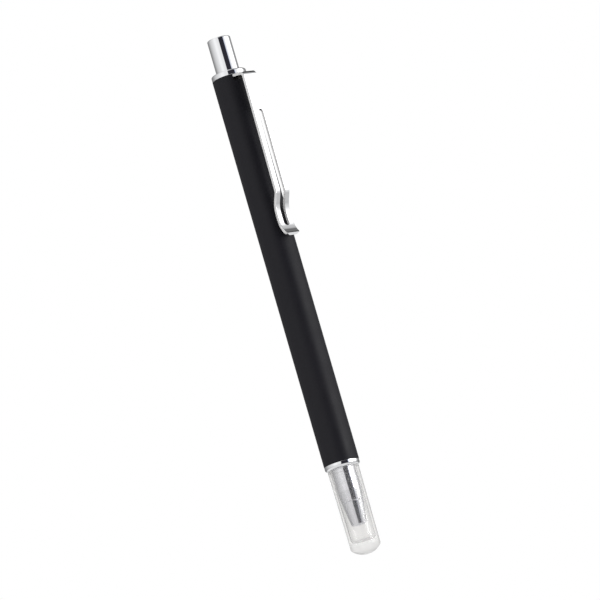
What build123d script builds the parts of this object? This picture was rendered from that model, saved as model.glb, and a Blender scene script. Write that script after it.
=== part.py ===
from build123d import *
import os
from math import asin, cos, pi, radians, sin

# Push-button technical pen with a pocket clip and a clear push-on cap over its nose.
# Millimetres. The pen's axis is Z, with the button up. The origin is the centre of the nose's
# front end, where the writing tip comes out. The clip is on the -Y side.
# Heights, called "low", "top" and so on, are measured from the origin. Everything is shown with
# the writing tip drawn in.

# ---------------------------------------------------------------- driving dimensions
BARREL_RADIUS = 5.0
BARREL_LOW = 17.6
BARREL_TOP = 129.9
BORE_RADIUS = 4.3
RUNNING_GAP = 0.08
FIT_GAP = 0.02
SMALL_EDGE = 0.1
INNER_EDGE = 0.3

# trim ring between the barrel and the nose
RING_LOW = 16.1
RING_ROUNDING = 0.8

# nose, in two sections
NOSE_RADIUS = 3.35
NOSE_END_RADIUS = 2.12
NOSE_END_EDGE = 0.12
TAPER_TOP = 9.7
TAPER_MIDDLE = (2.83, 4.8)
NOSE_JOINT = 6.5
NOSE_JOINT_RADIUS = 3.04
NOSE_JOINT_GAP = 0.12
NOSE_GROOVE_WIDTH = 0.42
NOSE_GROOVE_DEPTH = 0.15
NOSE_BORE_RADIUS = 2.45
TIP_OPENING_RADIUS = 1.25
HOLDER_BORE_RADIUS = 1.85
SPRING_SEAT = 9.0
NOSE_THREAD_RADIUS = 3.2
NOSE_THREAD_TOP = 24.0
THREAD_HOLE_RADIUS = NOSE_THREAD_RADIUS + 0.03

# threads are drawn as rings of this pitch and depth
THREAD_PITCH = 0.75
THREAD_DEPTH = 0.22

# brass bushes pressed into the barrel's ends
FRONT_BUSH_TOP = 25.0
TOP_BUSH_LOW = 122.4
TOP_BUSH_TOP = 128.2
TOP_BUSH_BORE_RADIUS = 3.9

# top collar
COLLAR_TOP = 131.45
COLLAR_SHOULDER = 0.5
COLLAR_SPIGOT_LOW = 123.0
COLLAR_SPIGOT_RADIUS = 3.88

# push button and the mechanism under it
STROKE = 5.6
BUTTON_RADIUS = 3.34
BUTTON_TOP = 141.5
BUTTON_LOW = 123.3
BUTTON_WALL = 0.44
BUTTON_ROOF = 0.9
BUTTON_EDGE = 0.35
PLUNGER_FLANGE_RADIUS = 3.7
PLUNGER_FLANGE = (121.9, 122.9)
PLUNGER_STEM_TOP = 139.5
CAM_CORE_RADIUS = 2.6
CAM_LUG_RADIUS = 3.2
CAM_LUG_WIDTH = 1.9
CAM_LUGS = 4
CROWN_TEETH = 8
CROWN_INNER_RADIUS = 1.9
CROWN_TOOTH_HEIGHT = 0.9
CROWN_LOW = 112.2
CROWN_GAP = 0.2

# sleeve with the guide ribs, pressed into the barrel
SLEEVE_LOW = 104.0
SLEEVE_TOP = 122.3
SLEEVE_RIBS = (109.0, PLUNGER_FLANGE[0] - STROKE - 0.4)
SLEEVE_UPPER_BORE_RADIUS = 3.8
SLEEVE_LOWER_BORE_RADIUS = 3.3
RIB_INNER_RADIUS = 2.75
RIB_WIDTH = 2.3

# refill
REFILL_RADIUS = 3.0
REFILL_BORE_RADIUS = 2.5
REFILL_LOW = 30.0
REFILL_TOP = 104.0
INK_RADIUS = 2.46
INK_TOP = 88.0
FOLLOWER_LENGTH = 4.0
TAIL_TOP = 109.0
TAIL_SHOULDER = 106.1
TAIL_RADIUS = 2.0
TAIL_PLUG_LENGTH = 4.0
TAIL_HOLE_RADIUS = 0.5
HOLDER_RADIUS = 1.7
HOLDER_LOW = 10.6
HOLDER_FLANGE_RADIUS = 2.3
HOLDER_FLANGE = (28.0, 30.0)
HOLDER_PLUG_TOP = 34.0
TIP_RADIUS = 1.15
SHANK_RADIUS = 0.98
SHANK_LENGTH = 5.0
TIP_SHOULDER_LOW = 5.2
NEEDLE_RADIUS = 0.4
BALL_RADIUS = 0.25
BALL_LOW = 1.6
INK_CHANNEL_RADIUS = 0.18

# return spring between the nose and the nib holder
SPRING_MEAN_RADIUS = 2.05
SPRING_WIRE_RADIUS = 0.19
SPRING_TURNS = 11

# pocket clip, bent from one strip
CLIP_WIDTH = 4.75
CLIP_THICKNESS = 0.84
CLIP_EDGE = 0.14
CLIP_PLATE_TOP = 129.86
CLIP_PLATE_INNER = 4.15
CLIP_PLATE_DROP = 0.65
CLIP_TOP_BEND = 1.2
CLIP_ARM_TOP = 8.52
CLIP_ARM_LOW = (8.02, 94.0)
CLIP_ARM_BEND = 2.5
CLIP_PINCH_TOP = 90.1
CLIP_PINCH_BEND = 6.9
CLIP_PINCH_LOW = 86.6
CLIP_PINCH_GAP = 0.3
CLIP_LIP_BEND = 6.8
CLIP_LIP_ANGLE = 44
CLIP_LIP_CORNER = 1.5
CLIP_SLOT_WIDTH = 1.85
CLIP_SLOT = (84.7, 117.9)
NOTCH_WIDTH = 4.95
NOTCH_LOW = 128.1

# push-on cap over the nose
CAP_MOUTH = 16.04
CAP_MOUTH_RADIUS = 4.41
CAP_LOW_RADIUS = 4.25
CAP_SIDE_LOW = -6.4
CAP_END = -8.4
CAP_CORNER = 0.8
CAP_BORE_RADIUS = 3.55
CAP_FLOOR = -4.6
CAP_FLOOR_RADIUS = 3.4
CAP_FLOOR_ROUNDING = 0.8
CAP_BEAD_RADIUS = 3.41
CAP_BEAD_HEIGHT = 12.1
CAP_BEAD_HALF_WIDTH = 0.35
CAP_MOUTH_STEP = (3.72, 15.1)
CAP_MOUTH_EDGE = 0.15


# ---------------------------------------------------------------- helpers
def rounded(outline, corners):
    """The flat outline with each corner given as (radius, height, rounding) rounded off."""
    for radius, height, rounding in corners:
        nearest = outline.vertices().sort_by_distance((radius, height, 0))[0]
        outline = fillet(nearest, rounding)
    return outline


def turned(corners):
    """A body of revolution about Z. Each corner is (radius, height) or (radius, height, rounding)."""
    outline = make_face(Polyline(*[corner[:2] for corner in corners], close=True))
    outline = rounded(outline, [corner for corner in corners if len(corner) == 3])
    return revolve(Plane.XZ * outline, Axis.Z)


def turned_edges(edges, corners=()):
    """A body of revolution about Z from a closed chain of edges drawn as (radius, height)."""
    return revolve(Plane.XZ * rounded(make_face(edges), corners), Axis.Z)


def chain(points, arcs):
    """Straight edges through the points, with an arc through arcs[number] to the point of that number."""
    edges = []
    for number, (first, last) in enumerate(zip(points, points[1:] + points[:1]), start=1):
        through = arcs.get(number)
        edges.append(ThreePointArc(first, through, last) if through else Line(first, last))
    return edges


def tube(outer, inner, low, top):
    """A plain tube, or a rod when inner is 0."""
    return turned([(inner, low), (outer, low), (outer, top), (inner, top)])


def radial_block(width, inner, outer, low, top, slope=0.0):
    """A block on the +X side from one radius to another, its lower end cut aslant by slope."""
    half = width / 2
    corners = [(-half, low + slope), (half, low), (half, top), (-half, top)]
    block = extrude(Plane.YZ * make_face(Polyline(*corners, close=True)), outer + 1)
    return block & tube(outer, inner, low - 1, top + 1)


def around(shape, count, first_angle=0.0):
    """count copies of shape about Z, joined."""
    copies = [Rot(0, 0, first_angle + 360 * step / count) * shape for step in range(count)]
    joined = copies[0]
    for copy in copies[1:]:
        joined += copy
    return joined


def crown(base, apex, first_angle):
    """A ring of pointed teeth from the height base to the height apex."""
    outer = CAM_CORE_RADIUS - 0.05
    half = pi * (CROWN_INNER_RADIUS + outer) / 2 / CROWN_TEETH * 0.93
    root = base - 0.3 if apex > base else base + 0.3
    corners = [(-half, root), (-half, base), (0, apex), (half, base), (half, root)]
    block = extrude(Plane.YZ * make_face(Polyline(*corners, close=True)), outer + 1)
    ring = tube(outer, CROWN_INNER_RADIUS, min(base, apex) - 1, max(base, apex) + 1)
    return around(block & ring, CROWN_TEETH, first_angle)


def thread_rings(radius, low, top, cut):
    """Rings that stand for a thread: grooves around a rod of this radius, or ridges to cut in a bore."""
    rings = []
    half = THREAD_PITCH * 0.35
    root = radius - THREAD_DEPTH if cut == "rod" else radius + THREAD_DEPTH
    past = radius + 0.1 if cut == "rod" else radius - 0.1
    for step in range(int((top - low) / THREAD_PITCH)):
        middle = low + (step + 0.5) * THREAD_PITCH
        rings.append(turned([(past, middle - half), (root, middle), (past, middle + half)]))
    return rings


# ---------------------------------------------------------------- barrel
def barrel_tube():
    body = turned([
        (BORE_RADIUS, BARREL_LOW),
        (BARREL_RADIUS - SMALL_EDGE, BARREL_LOW),
        (BARREL_RADIUS, BARREL_LOW + SMALL_EDGE),
        (BARREL_RADIUS, BARREL_TOP - SMALL_EDGE),
        (BARREL_RADIUS - SMALL_EDGE, BARREL_TOP),
        (BORE_RADIUS, BARREL_TOP),
    ])
    notch_depth = BARREL_TOP - NOTCH_LOW + 1
    notch = Pos(0, -BARREL_RADIUS, NOTCH_LOW + notch_depth / 2) * Box(NOTCH_WIDTH, 4, notch_depth)
    return body - notch


def front_bush():
    bush = tube(BORE_RADIUS, THREAD_HOLE_RADIUS, BARREL_LOW + 0.1, FRONT_BUSH_TOP)
    return bush - thread_rings(THREAD_HOLE_RADIUS, BARREL_LOW + 0.6, FRONT_BUSH_TOP - 0.4, "bore")


def top_bush():
    bush = tube(BORE_RADIUS, TOP_BUSH_BORE_RADIUS, TOP_BUSH_LOW, TOP_BUSH_TOP)
    return bush - thread_rings(TOP_BUSH_BORE_RADIUS, TOP_BUSH_LOW + 0.3, TOP_BUSH_TOP - 0.3, "bore")


def front_ring():
    return turned([
        (THREAD_HOLE_RADIUS, RING_LOW),
        (BARREL_RADIUS, RING_LOW, RING_ROUNDING),
        (BARREL_RADIUS, BARREL_LOW, SMALL_EDGE),
        (THREAD_HOLE_RADIUS, BARREL_LOW),
    ])


def top_collar():
    hole_radius = BUTTON_RADIUS + RUNNING_GAP
    collar = turned([
        (hole_radius, COLLAR_SPIGOT_LOW),
        (COLLAR_SPIGOT_RADIUS, COLLAR_SPIGOT_LOW),
        (COLLAR_SPIGOT_RADIUS, BARREL_TOP),
        (BARREL_RADIUS, BARREL_TOP, SMALL_EDGE),
        (BARREL_RADIUS, COLLAR_TOP, COLLAR_SHOULDER),
        (hole_radius, COLLAR_TOP, SMALL_EDGE),
    ])
    return collar - thread_rings(COLLAR_SPIGOT_RADIUS, TOP_BUSH_LOW + 0.7, TOP_BUSH_TOP - 0.3, "rod")


# ---------------------------------------------------------------- nose
def nose_taper():
    """The nose's outer form, solid: a short cylinder, then a slightly bulging taper to the end."""
    points = [
        (0, 0),
        (NOSE_END_RADIUS - NOSE_END_EDGE, 0),
        (NOSE_END_RADIUS, NOSE_END_EDGE),
        (NOSE_RADIUS, TAPER_TOP),
        (NOSE_RADIUS, RING_LOW),
        (0, RING_LOW),
    ]
    return turned_edges(chain(points, {3: TAPER_MIDDLE}))


def joint_groove():
    """The V groove around the joint between the nose's two sections, cut from well outside them."""
    return turned([
        (NOSE_JOINT_RADIUS - NOSE_GROOVE_DEPTH, NOSE_JOINT),
        (NOSE_JOINT_RADIUS + NOSE_GROOVE_DEPTH, NOSE_JOINT - NOSE_GROOVE_WIDTH),
        (NOSE_JOINT_RADIUS + NOSE_GROOVE_DEPTH, NOSE_JOINT + NOSE_GROOVE_WIDTH),
    ])


def nose_sleeve():
    outside = nose_taper() - tube(NOSE_RADIUS + 1, 0, -1, NOSE_JOINT)
    neck = tube(NOSE_THREAD_RADIUS, 0, RING_LOW - 0.5, NOSE_THREAD_TOP)
    neck -= thread_rings(NOSE_THREAD_RADIUS, BARREL_LOW + 0.6, NOSE_THREAD_TOP, "rod")
    bore = tube(NOSE_BORE_RADIUS, 0, NOSE_JOINT - 1, NOSE_THREAD_TOP + 1)
    return outside + neck - bore - joint_groove()


def nose_tip():
    outside = nose_taper() - tube(NOSE_RADIUS + 1, 0, NOSE_JOINT - NOSE_JOINT_GAP, RING_LOW + 1)
    spigot = tube(NOSE_BORE_RADIUS - FIT_GAP, 0, NOSE_JOINT - 0.5, SPRING_SEAT)
    cone_low = 4.3
    flare = 0.35
    opening = turned([
        (0, -1),
        (TIP_OPENING_RADIUS + flare + 1, -1),
        (TIP_OPENING_RADIUS, flare),
        (TIP_OPENING_RADIUS, cone_low),
        (HOLDER_BORE_RADIUS, cone_low + 0.5),
        (HOLDER_BORE_RADIUS, SPRING_SEAT + 1),
        (0, SPRING_SEAT + 1),
    ])
    return outside + spigot - opening - joint_groove()


# ---------------------------------------------------------------- button and mechanism
def button_shell():
    inner = BUTTON_RADIUS - BUTTON_WALL
    roof_low = BUTTON_TOP - BUTTON_ROOF
    return turned([
        (inner, BUTTON_LOW),
        (BUTTON_RADIUS, BUTTON_LOW, SMALL_EDGE),
        (BUTTON_RADIUS, BUTTON_TOP, BUTTON_EDGE),
        (0, BUTTON_TOP),
        (0, roof_low),
        (inner, roof_low, INNER_EDGE),
    ])


def cam_lugs(low, top, slope):
    """Lugs that run in the grooves between the sleeve's ribs."""
    lug = radial_block(CAM_LUG_WIDTH, CAM_CORE_RADIUS - 0.4, CAM_LUG_RADIUS, low, top, slope)
    return around(lug, CAM_LUGS)


def plunger():
    crown_base = CROWN_LOW + CROWN_TOOTH_HEIGHT + CROWN_GAP
    flange_low, flange_top = PLUNGER_FLANGE
    stem_radius = BUTTON_RADIUS - BUTTON_WALL - 0.03
    body = turned([
        (CROWN_INNER_RADIUS, crown_base),
        (CAM_CORE_RADIUS, crown_base),
        (CAM_CORE_RADIUS, flange_low),
        (PLUNGER_FLANGE_RADIUS, flange_low, SMALL_EDGE),
        (PLUNGER_FLANGE_RADIUS, flange_top, SMALL_EDGE),
        (stem_radius, flange_top),
        (stem_radius, PLUNGER_STEM_TOP, 0.4),
        (CROWN_INNER_RADIUS, PLUNGER_STEM_TOP),
    ])
    body += cam_lugs(crown_base + 0.3, crown_base + 4.2, 0.0)
    return body + crown(crown_base, CROWN_LOW + CROWN_GAP, 180 / CROWN_TEETH)


def rotor_cam():
    low = TAIL_SHOULDER + RUNNING_GAP
    socket_radius = TAIL_RADIUS + RUNNING_GAP
    socket_top = TAIL_TOP + RUNNING_GAP
    body = turned([
        (socket_radius, low),
        (CAM_CORE_RADIUS, low, 0.2),
        (CAM_CORE_RADIUS, CROWN_LOW),
        (0, CROWN_LOW),
        (0, socket_top),
        (socket_radius, socket_top),
    ])
    lug_height = 3.4
    lug_middle = CROWN_LOW - lug_height / 2 - 0.2
    lugs = Pos(0, 0, lug_middle) * Rot(180, 0, 0) * cam_lugs(-lug_height / 2, lug_height / 2, 1.0)
    return body + lugs + crown(CROWN_LOW, CROWN_LOW + CROWN_TOOTH_HEIGHT, 0.0)


def cam_sleeve():
    rib_low, rib_top = SLEEVE_RIBS
    outer = BORE_RADIUS - FIT_GAP
    body = turned([
        (SLEEVE_LOWER_BORE_RADIUS, SLEEVE_LOW),
        (outer, SLEEVE_LOW, INNER_EDGE),
        (outer, SLEEVE_TOP),
        (SLEEVE_UPPER_BORE_RADIUS, SLEEVE_TOP),
        (SLEEVE_UPPER_BORE_RADIUS, rib_top),
        (SLEEVE_LOWER_BORE_RADIUS, rib_top),
    ])
    rib_outer = SLEEVE_LOWER_BORE_RADIUS + 0.3
    rib = radial_block(RIB_WIDTH, RIB_INNER_RADIUS, rib_outer, rib_low, rib_top, 1.1)
    return body + around(rib, CAM_LUGS, 180 / CAM_LUGS)


# ---------------------------------------------------------------- refill
def refill_tube():
    return tube(REFILL_RADIUS, REFILL_BORE_RADIUS, REFILL_LOW, REFILL_TOP)


def ink_column():
    return tube(INK_RADIUS, 0, HOLDER_PLUG_TOP + FIT_GAP, INK_TOP)


def ink_follower():
    return tube(INK_RADIUS, 0, INK_TOP + FIT_GAP, INK_TOP + FOLLOWER_LENGTH)


def refill_tail_plug():
    plug_radius = REFILL_BORE_RADIUS - FIT_GAP
    plug_low = REFILL_TOP - TAIL_PLUG_LENGTH
    return turned([
        (TAIL_HOLE_RADIUS, plug_low),
        (plug_radius, plug_low, INNER_EDGE),
        (plug_radius, REFILL_TOP + FIT_GAP),
        (REFILL_RADIUS, REFILL_TOP + FIT_GAP),
        (REFILL_RADIUS, TAIL_SHOULDER, INNER_EDGE),
        (TAIL_RADIUS, TAIL_SHOULDER),
        (TAIL_RADIUS, TAIL_TOP, INNER_EDGE),
        (TAIL_HOLE_RADIUS, TAIL_TOP),
    ])


def nib_holder():
    flange_low, flange_top = HOLDER_FLANGE
    plug_radius = REFILL_BORE_RADIUS - FIT_GAP
    return turned([
        (SHANK_RADIUS + FIT_GAP, HOLDER_LOW),
        (HOLDER_RADIUS, HOLDER_LOW, INNER_EDGE),
        (HOLDER_RADIUS, flange_low),
        (HOLDER_FLANGE_RADIUS, flange_low),
        (HOLDER_FLANGE_RADIUS, flange_top - FIT_GAP),
        (plug_radius, flange_top - FIT_GAP),
        (plug_radius, HOLDER_PLUG_TOP, INNER_EDGE),
        (SHANK_RADIUS + FIT_GAP, HOLDER_PLUG_TOP),
    ])


def writing_tip():
    shank_top = HOLDER_LOW + SHANK_LENGTH
    ball_middle = BALL_LOW + BALL_RADIUS
    seat_radius = BALL_RADIUS + FIT_GAP
    seat_top = ball_middle + seat_radius
    return turned([
        (INK_CHANNEL_RADIUS, seat_top),
        (seat_radius, seat_top),
        (seat_radius, ball_middle + 0.05),
        (NEEDLE_RADIUS, ball_middle + 0.35),
        (NEEDLE_RADIUS, TIP_SHOULDER_LOW - 0.6),
        (TIP_RADIUS, TIP_SHOULDER_LOW + 0.7),
        (TIP_RADIUS, HOLDER_LOW - FIT_GAP),
        (SHANK_RADIUS, HOLDER_LOW - FIT_GAP),
        (SHANK_RADIUS, shank_top),
        (INK_CHANNEL_RADIUS, shank_top),
    ])


def tip_ball():
    return Pos(0, 0, BALL_LOW + BALL_RADIUS) * Sphere(BALL_RADIUS)


def return_spring():
    low = SPRING_SEAT + SPRING_WIRE_RADIUS + FIT_GAP
    height = HOLDER_FLANGE[0] - SPRING_WIRE_RADIUS - FIT_GAP - low
    coil = Helix(height / SPRING_TURNS, height, SPRING_MEAN_RADIUS)
    wire = Plane(origin=coil @ 0, z_dir=coil % 0) * Circle(SPRING_WIRE_RADIUS)
    return Pos(0, 0, low) * sweep(wire, coil, is_frenet=True)


# ---------------------------------------------------------------- clip
def clip_path():
    """The strip's middle line seen from the side, as (distance out from the axis, height)."""
    half = CLIP_THICKNESS / 2
    plate_height = CLIP_PLATE_TOP - half
    pinch = BARREL_RADIUS + CLIP_PINCH_GAP + half
    lip_angle = radians(CLIP_LIP_ANGLE)
    lip_end = (
        pinch + CLIP_LIP_BEND * (1 - cos(lip_angle)),
        CLIP_PINCH_LOW - CLIP_LIP_BEND * sin(lip_angle),
    )
    arm = FilletPolyline(
        (CLIP_PLATE_INNER, plate_height),
        (CLIP_ARM_TOP, plate_height - CLIP_PLATE_DROP),
        CLIP_ARM_LOW,
        (pinch, CLIP_PINCH_TOP),
        (pinch, CLIP_PINCH_LOW),
        radius=[CLIP_TOP_BEND, CLIP_ARM_BEND, CLIP_PINCH_BEND],
    )
    lip = RadiusArc((pinch, CLIP_PINCH_LOW), lip_end, -CLIP_LIP_BEND)
    return arm, lip


def pocket_clip():
    arm, lip = clip_path()
    side = Plane(origin=(0, 0, 0), x_dir=(0, -1, 0), z_dir=(-1, 0, 0))
    middle = Wire(list((side * arm).edges()) + list((side * lip).edges()))
    start = Plane(origin=middle @ 0, z_dir=middle % 0, x_dir=(1, 0, 0))
    strip = sweep(start * RectangleRounded(CLIP_WIDTH, CLIP_THICKNESS, CLIP_EDGE), middle)

    slot_low, slot_top = CLIP_SLOT
    slot = Rot(0, 0, 90) * SlotOverall(slot_top - slot_low, CLIP_SLOT_WIDTH)
    slot = extrude(Plane.XZ * Pos(0, (slot_low + slot_top) / 2) * slot, 20)

    lip_low = CLIP_PINCH_LOW - (CLIP_LIP_BEND + CLIP_THICKNESS / 2) * sin(radians(CLIP_LIP_ANGLE))
    height = BARREL_TOP + 1 - lip_low
    front = Pos(0, lip_low + height / 2) * Rectangle(CLIP_WIDTH, height)
    front = fillet(front.vertices().group_by(Axis.Y)[0], CLIP_LIP_CORNER)
    return (strip - slot) & extrude(Plane.XZ * front, 20)


# ---------------------------------------------------------------- cap
def protective_cap():
    step_radius, step_height = CAP_MOUTH_STEP
    bead_low = CAP_BEAD_HEIGHT - CAP_BEAD_HALF_WIDTH
    bead_top = CAP_BEAD_HEIGHT + CAP_BEAD_HALF_WIDTH
    floor_bend = CAP_FLOOR_ROUNDING * (1 - cos(pi / 4))

    dome_height = CAP_SIDE_LOW - CAP_END
    dome_radius = (CAP_LOW_RADIUS ** 2 + dome_height ** 2) / (2 * dome_height)
    half_angle = asin(CAP_LOW_RADIUS / dome_radius) / 2
    dome_middle = (dome_radius * sin(half_angle), CAP_END + dome_radius * (1 - cos(half_angle)))

    points = [
        (0, CAP_END),
        (0, CAP_FLOOR),
        (CAP_FLOOR_RADIUS - CAP_FLOOR_ROUNDING, CAP_FLOOR),
        (CAP_FLOOR_RADIUS, CAP_FLOOR + CAP_FLOOR_ROUNDING),
        (CAP_BORE_RADIUS, bead_low),
        (CAP_BORE_RADIUS, bead_top),
        (CAP_BORE_RADIUS, step_height - 0.2),
        (step_radius, step_height),
        (step_radius, CAP_MOUTH),
        (CAP_MOUTH_RADIUS - CAP_MOUTH_EDGE, CAP_MOUTH),
        (CAP_MOUTH_RADIUS, CAP_MOUTH - CAP_MOUTH_EDGE),
        (CAP_LOW_RADIUS, CAP_SIDE_LOW),
    ]
    arcs = {
        3: (CAP_FLOOR_RADIUS - floor_bend, CAP_FLOOR + floor_bend),
        5: (CAP_BEAD_RADIUS, CAP_BEAD_HEIGHT),
        12: dome_middle,
    }
    return turned_edges(chain(points, arcs), [(CAP_LOW_RADIUS, CAP_SIDE_LOW, CAP_CORNER)])


# ---------------------------------------------------------------- write one file per piece
PIECES = {
    "barrel_tube": barrel_tube,
    "front_bush": front_bush,
    "top_bush": top_bush,
    "front_ring": front_ring,
    "top_collar": top_collar,
    "nose_sleeve": nose_sleeve,
    "nose_tip": nose_tip,
    "cam_sleeve": cam_sleeve,
    "button_shell": button_shell,
    "plunger": plunger,
    "rotor_cam": rotor_cam,
    "refill_tube": refill_tube,
    "refill_tail_plug": refill_tail_plug,
    "ink_column": ink_column,
    "ink_follower": ink_follower,
    "nib_holder": nib_holder,
    "writing_tip": writing_tip,
    "tip_ball": tip_ball,
    "return_spring": return_spring,
    "pocket_clip": pocket_clip,
    "protective_cap": protective_cap,
}

os.makedirs("parts", exist_ok=True)
for name, make in PIECES.items():
    export_step(make(), f"parts/{name}.step")
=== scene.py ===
import math

import bpy
from mathutils import Matrix, Vector


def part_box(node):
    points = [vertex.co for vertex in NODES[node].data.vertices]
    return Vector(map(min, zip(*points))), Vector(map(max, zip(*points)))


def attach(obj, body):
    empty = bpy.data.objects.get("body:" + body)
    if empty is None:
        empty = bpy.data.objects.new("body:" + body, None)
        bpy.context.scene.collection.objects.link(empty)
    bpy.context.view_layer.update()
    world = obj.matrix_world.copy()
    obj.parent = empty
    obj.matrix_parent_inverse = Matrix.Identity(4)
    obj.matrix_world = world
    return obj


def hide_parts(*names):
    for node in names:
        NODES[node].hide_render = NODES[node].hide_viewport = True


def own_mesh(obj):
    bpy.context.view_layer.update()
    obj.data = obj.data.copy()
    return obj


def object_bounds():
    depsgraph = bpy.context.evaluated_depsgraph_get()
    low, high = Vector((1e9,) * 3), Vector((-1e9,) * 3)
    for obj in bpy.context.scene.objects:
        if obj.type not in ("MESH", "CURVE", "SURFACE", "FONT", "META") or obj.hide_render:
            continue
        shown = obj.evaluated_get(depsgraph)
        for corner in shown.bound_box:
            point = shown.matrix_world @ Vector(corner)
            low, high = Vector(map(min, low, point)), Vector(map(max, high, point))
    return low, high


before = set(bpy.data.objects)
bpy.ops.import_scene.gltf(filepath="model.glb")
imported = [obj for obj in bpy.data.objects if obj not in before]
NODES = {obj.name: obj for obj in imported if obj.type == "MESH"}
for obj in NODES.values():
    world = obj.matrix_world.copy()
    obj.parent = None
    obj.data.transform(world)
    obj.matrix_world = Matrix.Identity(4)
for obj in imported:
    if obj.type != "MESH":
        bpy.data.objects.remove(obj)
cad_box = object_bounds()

# A push-button technical pen, upright, photographed against white from a little below.
# Metres. The pen's axis is Z with the button up, and the clip is on the -Y side.

MM = 0.001
WHITE = (1, 1, 1, 1)

# ---------------------------------------------------------------- view
VIEW_TURN = 40.0           # degrees that the camera stands round from the clip's side
VIEW_RISE = -9.8           # degrees above the horizon
VIEW_LEAN = 16.2           # degrees that the pen's top leans to the left in the picture
VIEW_DISTANCE = 1.7
PICTURE_WIDTH = 0.1653     # width of the picture where the pen is
SENSOR = 36.0
AIM_HEIGHT = 0.0645
AIM_RIGHT = 0.00154
FLOOR_DROP = 0.8           # the pen is held up, well above the floor
FLOOR_REACH = 40.0
FLOOR_GLOW = 0.42          # lifts the floor towards the white behind it, and doesn't light the pen

# ---------------------------------------------------------------- light
# Brightness by degrees round from the camera, to its right.
CARD = (0.030, 0.029, 0.038)
CARD_EDGE = (0.60, 0.66, 0.85)
WALL_LIGHT = [
    (-180, 1.0), (-168, 1.0), (-158, 0.22), (-140, 0.25), (-119, 0.40), (-102, 0.60), (-87, 0.73),
    (-62, 0.90), (-45, 1.08), (-35, 1.08), (-20, 0.96), (-3, 0.94), (-1, CARD), (42, CARD),
    (45, CARD_EDGE), (50, 1.0), (62, 1.1), (72, 2.2), (103, 2.2), (112, 0.95), (119, 0.62), (127, 0.34),
    (143, 0.26), (154, 0.22), (163, 1.0), (180, 1.0),
]
# Where the rising light of the right wall, and of the rear right one, takes over from the others'.
RIGHT_WALL = [(-180, 0.0), (30, 0.0), (60, 1.0), (115, 1.0), (130, 0.0), (180, 0.0)]
REAR_RIGHT = [(-180, 0.0), (105, 0.0), (145, 1.0), (176, 1.0), (180, 0.0)]
# By degrees above the horizon: how far the walls are evenly white, above and below the card.
OFF_CARD = [(-90, 1.0), (-28, 1.0), (-12, 0.0), (50, 0.0), (60, 1.0), (90, 1.0)]
# Brightness by degrees above the horizon, as a share of the wall's.
RISE_LIGHT = [
    (-90, 0.75), (-55, 0.78), (-35, 0.90), (-18, 0.85), (-12, 0.76), (-2, 0.82), (6, 1.0), (90, 0.95),
]
RISE_RIGHT = [
    (-90, 0.90), (-48, 0.85), (-40, 0.62), (-28, 0.56), (-13, 0.38), (-4, 0.50), (4, 0.9), (10, 1.0),
    (22, 0.80), (38, 0.30), (48, 0.22), (90, 0.40),
]
RISE_REAR_RIGHT = [(-90, 1.0), (16, 1.0), (30, 0.08), (60, 0.08), (90, 0.6)]
LAMP_TURN = 62.0
LAMP_HEIGHT = 0.045
LAMP_DISTANCE = 0.22
LAMP_SIZE = 0.07
LAMP_POWER = 0.12

# ---------------------------------------------------------------- finish
PLATE = (0.86, 0.865, 0.88)
SHADE_INSIDE_TOP = (0.15, 0.05)  # mm below the barrel's top, where the collar turns from plate to painted shade inside the barrel
SHEARED = (0.6, 0.9)       # how squarely a clip face points sideways, from polished to satin
CAP_FROST = (2.0, 5.5)     # mm up from the cap's end, where its frosting starts to fade and is gone
CAP_CLEAR = (0.94, 0.72)   # how much the cap lets through, seen square on and seen at a slant
CAP_SLANT = (0.03, 0.6)    # the slants that those two are for
FLOOR_COLOUR = (0.85, 0.85, 0.85, 1)


def view_axes():
    """Unit vectors from the pen to the camera, to the picture's right and up the pen, before the lean."""
    turn, rise = math.radians(-VIEW_TURN), math.radians(VIEW_RISE)
    back = Vector((math.sin(turn) * math.cos(rise), -math.cos(turn) * math.cos(rise), math.sin(rise)))
    right = Vector((math.cos(turn), math.sin(turn), 0))
    return back, right, back.cross(right)


def level_direction(degrees):
    """The level unit vector that is this far round from the camera, to its right."""
    back, right, _ = view_axes()
    to_camera = Vector((back.x, back.y, 0)).normalized()
    turn = math.radians(degrees)
    return math.cos(turn) * to_camera + math.sin(turn) * right


def make_camera():
    back, right, up = view_axes()
    lean = math.radians(VIEW_LEAN)
    cam_right = math.cos(lean) * right - math.sin(lean) * up
    cam_up = math.sin(lean) * right + math.cos(lean) * up
    data = bpy.data.cameras.new("camera")
    data.sensor_width = SENSOR
    data.lens = SENSOR * VIEW_DISTANCE / PICTURE_WIDTH
    data.clip_start = 0.01
    data.clip_end = 100
    camera = bpy.data.objects.new("camera", data)
    bpy.context.scene.collection.objects.link(camera)
    turned = Matrix((cam_right, cam_up, back)).transposed().to_4x4()
    aim = Vector((0, 0, AIM_HEIGHT)) + right * AIM_RIGHT
    camera.matrix_world = Matrix.Translation(aim + back * VIEW_DISTANCE) @ turned
    bpy.context.scene.camera = camera


# ---------------------------------------------------------------- node helpers
def new_material(name):
    """A fresh material, its node tree and its Principled shader."""
    material = bpy.data.materials.new(name)
    material.use_nodes = True
    tree = material.node_tree
    shader = next(node for node in tree.nodes if node.type == "BSDF_PRINCIPLED")
    return material, tree, shader


def add(tree, kind, **values):
    """A node of this kind. Values set its own properties, or its inputs where it has no such property."""
    node = tree.nodes.new(kind)
    for key, value in values.items():
        if hasattr(node, key):
            setattr(node, key, value)
        else:
            node.inputs[key].default_value = value
    return node


def calculate(tree, operation, first, second=None):
    """The result of this operation on one or two sockets."""
    node = add(tree, "ShaderNodeMath", operation=operation)
    tree.links.new(first, node.inputs[0])
    if second is not None:
        tree.links.new(second, node.inputs[1])
    return node.outputs[0]


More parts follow.
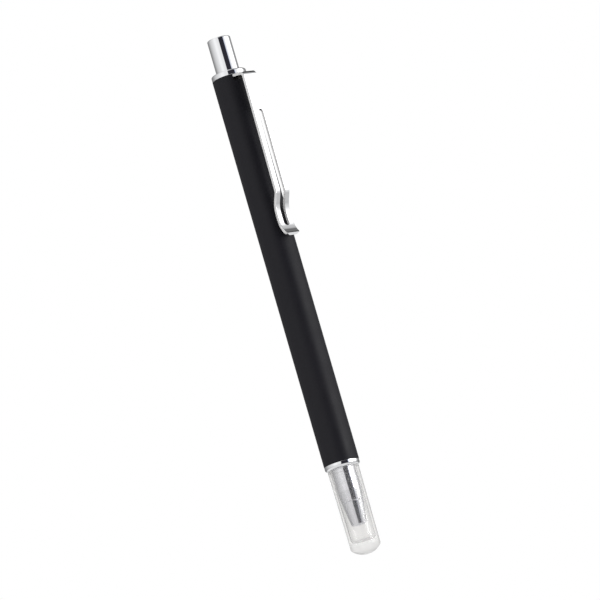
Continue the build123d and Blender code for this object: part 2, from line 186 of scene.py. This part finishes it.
def place(tree, stretch=(1, 1, 1)):
    """Object coordinates in millimetres, scaled by stretch."""
    where = add(tree, "ShaderNodeTexCoord")
    mapping = add(tree, "ShaderNodeMapping")
    mapping.inputs["Scale"].default_value = [part / MM for part in stretch]
    tree.links.new(where.outputs["Object"], mapping.inputs["Vector"])
    return mapping.outputs["Vector"]


def height(tree):
    """Height above the origin, in millimetres."""
    split = add(tree, "ShaderNodeSeparateXYZ")
    tree.links.new(place(tree), split.inputs[0])
    return split.outputs["Z"]


def noise(tree, scale, detail, stretch=(1, 1, 1)):
    """Noise with this many cells to the millimetre."""
    node = add(tree, "ShaderNodeTexNoise", Scale=scale, Detail=detail)
    tree.links.new(place(tree, stretch), node.inputs["Vector"])
    return node.outputs["Fac"]


def ramp(tree, value, low, high, start=0.0, end=1.0):
    """The value from start to end, turned into a number from low to high."""
    node = add(tree, "ShaderNodeMapRange")
    node.inputs["From Min"].default_value = start
    node.inputs["From Max"].default_value = end
    node.inputs["To Min"].default_value = low
    node.inputs["To Max"].default_value = high
    tree.links.new(value, node.inputs["Value"])
    return node.outputs["Result"]


def blend_colour(tree, value, first, second):
    """From the first colour to the second as the value goes from 0 to 1."""
    node = add(tree, "ShaderNodeMix", data_type="RGBA")
    node.inputs[6].default_value = (*first, 1)
    node.inputs[7].default_value = (*second, 1)
    tree.links.new(value, node.inputs[0])
    return node.outputs[2]


def mixed(tree, value, first, second):
    """From the first socket's colour to the second's as the value goes from 0 to 1."""
    node = add(tree, "ShaderNodeMix", data_type="RGBA")
    tree.links.new(value, node.inputs[0])
    tree.links.new(first, node.inputs[6])
    tree.links.new(second, node.inputs[7])
    return node.outputs[2]


def multiply(tree, first, second):
    node = add(tree, "ShaderNodeMix", data_type="RGBA", blend_type="MULTIPLY")
    node.inputs[0].default_value = 1.0
    tree.links.new(first, node.inputs[6])
    tree.links.new(second, node.inputs[7])
    return node.outputs[2]


def bump(tree, shader, relief, strength, depth_mm):
    node = add(tree, "ShaderNodeBump", Strength=strength, Distance=depth_mm * MM)
    tree.links.new(relief, node.inputs["Height"])
    tree.links.new(node.outputs["Normal"], shader.inputs["Normal"])


# ---------------------------------------------------------------- materials
def smears(tree):
    """Faint wide smears on polished plate."""
    return noise(tree, 0.35, 4.0)


def plated(tree, shader):
    """Polished plate's slight unevenness."""
    bump(tree, shader, noise(tree, 1.4, 2.0), 0.10, 0.004)


def chrome(name="chrome", tint=PLATE, polish=0.045):
    """Polished plate."""
    material, tree, shader = new_material(name)
    shader.inputs["Metallic"].default_value = 1.0
    smear = smears(tree)
    dull = tuple(part * 0.94 for part in tint)
    roughness = ramp(tree, smear, polish * 0.7, polish * 1.6, 0.35, 0.7)
    tree.links.new(blend_colour(tree, smear, tint, dull), shader.inputs["Base Color"])
    tree.links.new(roughness, shader.inputs["Roughness"])
    plated(tree, shader)
    return material


def collar_chrome():
    """Chrome on the part that shows, and below it, inside the barrel, rougher metal painted dark as the
    shade in the barrel's notch.
    """
    material, tree, shader = new_material("chrome_collar")
    shader.inputs["Metallic"].default_value = 1.0
    barrel_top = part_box("barrel_tube")[1].z / MM
    inside = ramp(tree, height(tree), 1.0, 0.0, barrel_top - SHADE_INSIDE_TOP[0], barrel_top - SHADE_INSIDE_TOP[1])
    plate = blend_colour(tree, smears(tree), PLATE, (0.81, 0.815, 0.83))
    # painted shade: the collar inside the barrel is coloured near black for the shade seen through the
    # notch
    painted_shade = blend_colour(tree, noise(tree, 2.0, 3.0), (0.050, 0.047, 0.045), (0.030, 0.028, 0.027))
    tree.links.new(mixed(tree, inside, plate, painted_shade), shader.inputs["Base Color"])
    tree.links.new(ramp(tree, inside, 0.04, 0.45), shader.inputs["Roughness"])
    plated(tree, shader)
    return material


def stamped_chrome():
    """Plated strip: its faces are polished, and its sheared edges are satin."""
    material, tree, shader = new_material("chrome_clip")
    surface = add(tree, "ShaderNodeNewGeometry")
    split = add(tree, "ShaderNodeSeparateXYZ")
    tree.links.new(surface.outputs["Normal"], split.inputs[0])
    edge = ramp(tree, calculate(tree, "ABSOLUTE", split.outputs["X"]), 0.0, 1.0, *SHEARED)
    faces = blend_colour(tree, smears(tree), (0.87, 0.875, 0.885), (0.83, 0.835, 0.85))
    satin = blend_colour(tree, noise(tree, 3.0, 3.0), (0.98, 0.975, 0.97), (0.93, 0.925, 0.92))
    tree.links.new(mixed(tree, edge, faces, satin), shader.inputs["Base Color"])
    tree.links.new(ramp(tree, edge, 0.04, 0.62), shader.inputs["Roughness"])
    tree.links.new(ramp(tree, edge, 1.0, 0.35), shader.inputs["Metallic"])
    plated(tree, shader)
    return material


def soft_touch():
    """The barrel's matt coating, with a very fine grain and slightly rubbed patches."""
    material, tree, shader = new_material("soft_touch")
    shader.inputs["Specular IOR Level"].default_value = 0.24
    wide = noise(tree, 0.12, 5.0)
    colour = blend_colour(tree, wide, (0.0096, 0.0092, 0.0134), (0.0118, 0.0113, 0.0158))
    tree.links.new(colour, shader.inputs["Base Color"])
    tree.links.new(ramp(tree, wide, 0.46, 0.56, 0.3, 0.7), shader.inputs["Roughness"])
    bump(tree, shader, noise(tree, 9.0, 3.0), 0.25, 0.006)
    return material


def turned_metal(name, light, dark, roughness):
    """Bare turned metal with fine tool rings."""
    material, tree, shader = new_material(name)
    shader.inputs["Metallic"].default_value = 1.0
    rings = noise(tree, 6.0, 2.0, stretch=(0.05, 0.05, 1))
    tree.links.new(blend_colour(tree, rings, light, dark), shader.inputs["Base Color"])
    tree.links.new(ramp(tree, rings, roughness * 0.8, roughness * 1.3), shader.inputs["Roughness"])
    bump(tree, shader, rings, 0.3, 0.01)
    return material


def moulded(name, light, dark, roughness, through=0.0):
    """Moulded plastic with faint flow marks."""
    material, tree, shader = new_material(name)
    shader.inputs["Transmission Weight"].default_value = through
    flow = noise(tree, 0.5, 4.0, stretch=(1, 1, 0.4))
    tree.links.new(blend_colour(tree, flow, light, dark), shader.inputs["Base Color"])
    tree.links.new(ramp(tree, flow, roughness * 0.85, roughness * 1.2), shader.inputs["Roughness"])
    bump(tree, shader, noise(tree, 4.0, 2.0), 0.15, 0.004)
    return material


def milky_cap():
    """Clear moulded plastic whose haze shows most at a slant. Its solid end is frosted."""
    material, tree, shader = new_material("milky_cap")
    slant = add(tree, "ShaderNodeLayerWeight", Blend=0.5)
    through = ramp(tree, slant.outputs["Facing"], *CAP_CLEAR, *CAP_SLANT)
    tree.links.new(through, shader.inputs["Transmission Weight"])
    shader.inputs["IOR"].default_value = 1.05
    shader.inputs["Coat Weight"].default_value = 0.6
    shader.inputs["Coat Roughness"].default_value = 0.12
    haze = noise(tree, 0.25, 4.0, stretch=(1, 1, 0.5))
    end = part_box("protective_cap")[0].z / MM
    clear = ramp(tree, height(tree), 0.0, 1.0, end + CAP_FROST[0], end + CAP_FROST[1])
    wall = blend_colour(tree, haze, (0.962, 0.957, 0.950), (0.938, 0.933, 0.926))
    solid = blend_colour(tree, haze, (0.895, 0.889, 0.880), (0.872, 0.866, 0.857))
    tree.links.new(mixed(tree, clear, solid, wall), shader.inputs["Base Color"])
    frosted = ramp(tree, clear, 0.34, 0.06)
    uneven = ramp(tree, haze, 0.85, 1.15, 0.3, 0.7)
    tree.links.new(calculate(tree, "MULTIPLY", frosted, uneven), shader.inputs["Roughness"])
    bump(tree, shader, noise(tree, 1.2, 2.0), 0.08, 0.006)
    return material


def dress(materials):
    """Each CAD node's material."""
    for node, material in materials.items():
        mesh = NODES[node].data
        mesh.materials.clear()
        mesh.materials.append(material)


def dress_all():
    polished = chrome()
    nose_plate = chrome("nose_chrome", tint=(0.89, 0.895, 0.94), polish=0.06)
    brass = turned_metal("brass", (0.80, 0.60, 0.28), (0.62, 0.44, 0.18), 0.22)
    acetal = moulded("acetal", (0.84, 0.84, 0.81), (0.78, 0.78, 0.75), 0.4)
    steel = turned_metal("steel", (0.66, 0.66, 0.67), (0.48, 0.48, 0.50), 0.25)
    dress({
        "barrel_tube": soft_touch(),
        "front_bush": brass,
        "top_bush": brass,
        "front_ring": polished,
        "top_collar": collar_chrome(),
        "nose_sleeve": nose_plate,
        "nose_tip": nose_plate,
        "button_shell": polished,
        "pocket_clip": stamped_chrome(),
        "cam_sleeve": acetal,
        "plunger": acetal,
        "rotor_cam": acetal,
        "refill_tube": moulded("refill_plastic", (0.9, 0.92, 0.91), (0.84, 0.86, 0.85), 0.15, 0.85),
        "refill_tail_plug": moulded("tail_plastic", (0.08, 0.08, 0.085), (0.05, 0.05, 0.055), 0.4),
        "ink_column": moulded("ink", (0.008, 0.008, 0.012), (0.012, 0.012, 0.02), 0.12),
        "ink_follower": moulded("grease", (0.75, 0.72, 0.52), (0.68, 0.65, 0.46), 0.25, 0.5),
        "nib_holder": moulded("holder_plastic", (0.72, 0.74, 0.76), (0.62, 0.64, 0.66), 0.3, 0.3),
        "writing_tip": steel,
        "tip_ball": steel,
        "return_spring": steel,
        "protective_cap": milky_cap(),
    })


# ---------------------------------------------------------------- the piece that isn't rigid
def squeezed_spring():
    """The return spring as a piece of its own on the barrel, in place of the hidden CAD node. The real
    spring is pressed together as the button goes in.
    """
    node = NODES["return_spring"]
    spring = bpy.data.objects.new("squeezed_spring", node.data.copy())
    bpy.context.scene.collection.objects.link(spring)
    spring.matrix_world = node.matrix_world
    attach(spring, "barrel")
    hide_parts("return_spring")
    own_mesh(spring)


# ---------------------------------------------------------------- light and floor
def bands(tree, value, start, end, stops):
    """Greys or colours at the given degrees between start and end, each blended into the next."""
    node = add(tree, "ShaderNodeValToRGB")
    elements = node.color_ramp.elements
    elements.remove(elements[-1])
    for number, (degrees, colour) in enumerate(stops):
        position = (degrees - start) / (end - start)
        element = elements[0] if number == 0 else elements.new(position)
        element.position = position
        element.color = (*(colour if isinstance(colour, tuple) else (colour,) * 3), 1)
    share = ramp(tree, value, 0.0, 1.0, math.radians(start), math.radians(end))
    tree.links.new(share, node.inputs["Fac"])
    return node.outputs["Color"]


def studio_light():
    """A light tent: white walls, one dark card beside the camera, a dimmer left side and floor."""
    world = bpy.data.worlds.new("studio")
    bpy.context.scene.world = world
    world.use_nodes = True
    tree = world.node_tree
    shade = next(node for node in tree.nodes if node.type == "BACKGROUND")
    where = add(tree, "ShaderNodeTexCoord")

    def along(direction):
        node = add(tree, "ShaderNodeVectorMath", operation="DOT_PRODUCT")
        tree.links.new(where.outputs["Generated"], node.inputs[0])
        node.inputs[1].default_value = direction
        return node.outputs["Value"]

    turn = calculate(tree, "ARCTAN2", along(level_direction(90)), along(level_direction(0)))
    rise = calculate(tree, "ARCSINE", along((0, 0, 1)))

    def sideways(stops):
        return bands(tree, turn, -180, 180, stops)

    def upward(stops):
        return bands(tree, rise, -90, 90, stops)

    plain = add(tree, "ShaderNodeRGB").outputs[0]
    plain.default_value = WHITE
    light = mixed(tree, upward(OFF_CARD), sideways(WALL_LIGHT), plain)
    share = mixed(tree, sideways(RIGHT_WALL), upward(RISE_LIGHT), upward(RISE_RIGHT))
    light = multiply(tree, light, share)
    share = mixed(tree, sideways(REAR_RIGHT), plain, upward(RISE_REAR_RIGHT))
    light = multiply(tree, light, share)
    ray = add(tree, "ShaderNodeLightPath")
    backdrop = mixed(tree, ray.outputs["Is Camera Ray"], light, plain)
    tree.links.new(backdrop, shade.inputs["Color"])


def low_lamp():
    """A small soft lamp to the right, low down, for the sheen on the barrel's lower end."""
    away = level_direction(LAMP_TURN)
    data = bpy.data.lights.new("low_lamp", "AREA")
    data.size = LAMP_SIZE
    data.energy = LAMP_POWER
    lamp = bpy.data.objects.new("low_lamp", data)
    bpy.context.scene.collection.objects.link(lamp)
    lamp.visible_camera = False
    lamp.location = away * LAMP_DISTANCE + Vector((0, 0, LAMP_HEIGHT))
    lamp.rotation_euler = away.to_track_quat("Z", "Y").to_euler()


def make_floor():
    """A plain floor. Chrome and the cap don't show it, so they mirror only the tent."""
    mesh = bpy.data.meshes.new("floor")
    low = cad_box[0].z - FLOOR_DROP
    corners = [(-1, -1), (1, -1), (1, 1), (-1, 1)]
    mesh.from_pydata([(FLOOR_REACH * x, FLOOR_REACH * y, low) for x, y in corners], [], [(0, 1, 2, 3)])
    floor = bpy.data.objects.new("floor", mesh)
    bpy.context.scene.collection.objects.link(floor)
    material, tree, shader = new_material("floor")
    shader.inputs["Roughness"].default_value = 0.9
    shader.inputs["Base Color"].default_value = FLOOR_COLOUR
    shader.inputs["Emission Color"].default_value = WHITE
    ray = add(tree, "ShaderNodeLightPath")
    glow = ramp(tree, ray.outputs["Is Camera Ray"], 0.0, FLOOR_GLOW)
    tree.links.new(glow, shader.inputs["Emission Strength"])
    mesh.materials.append(material)
    floor.visible_glossy = False
    floor.visible_transmission = False


make_camera()
studio_light()
low_lamp()
make_floor()
dress_all()
squeezed_spring()
bpy.context.scene.view_settings.view_transform = "Standard"
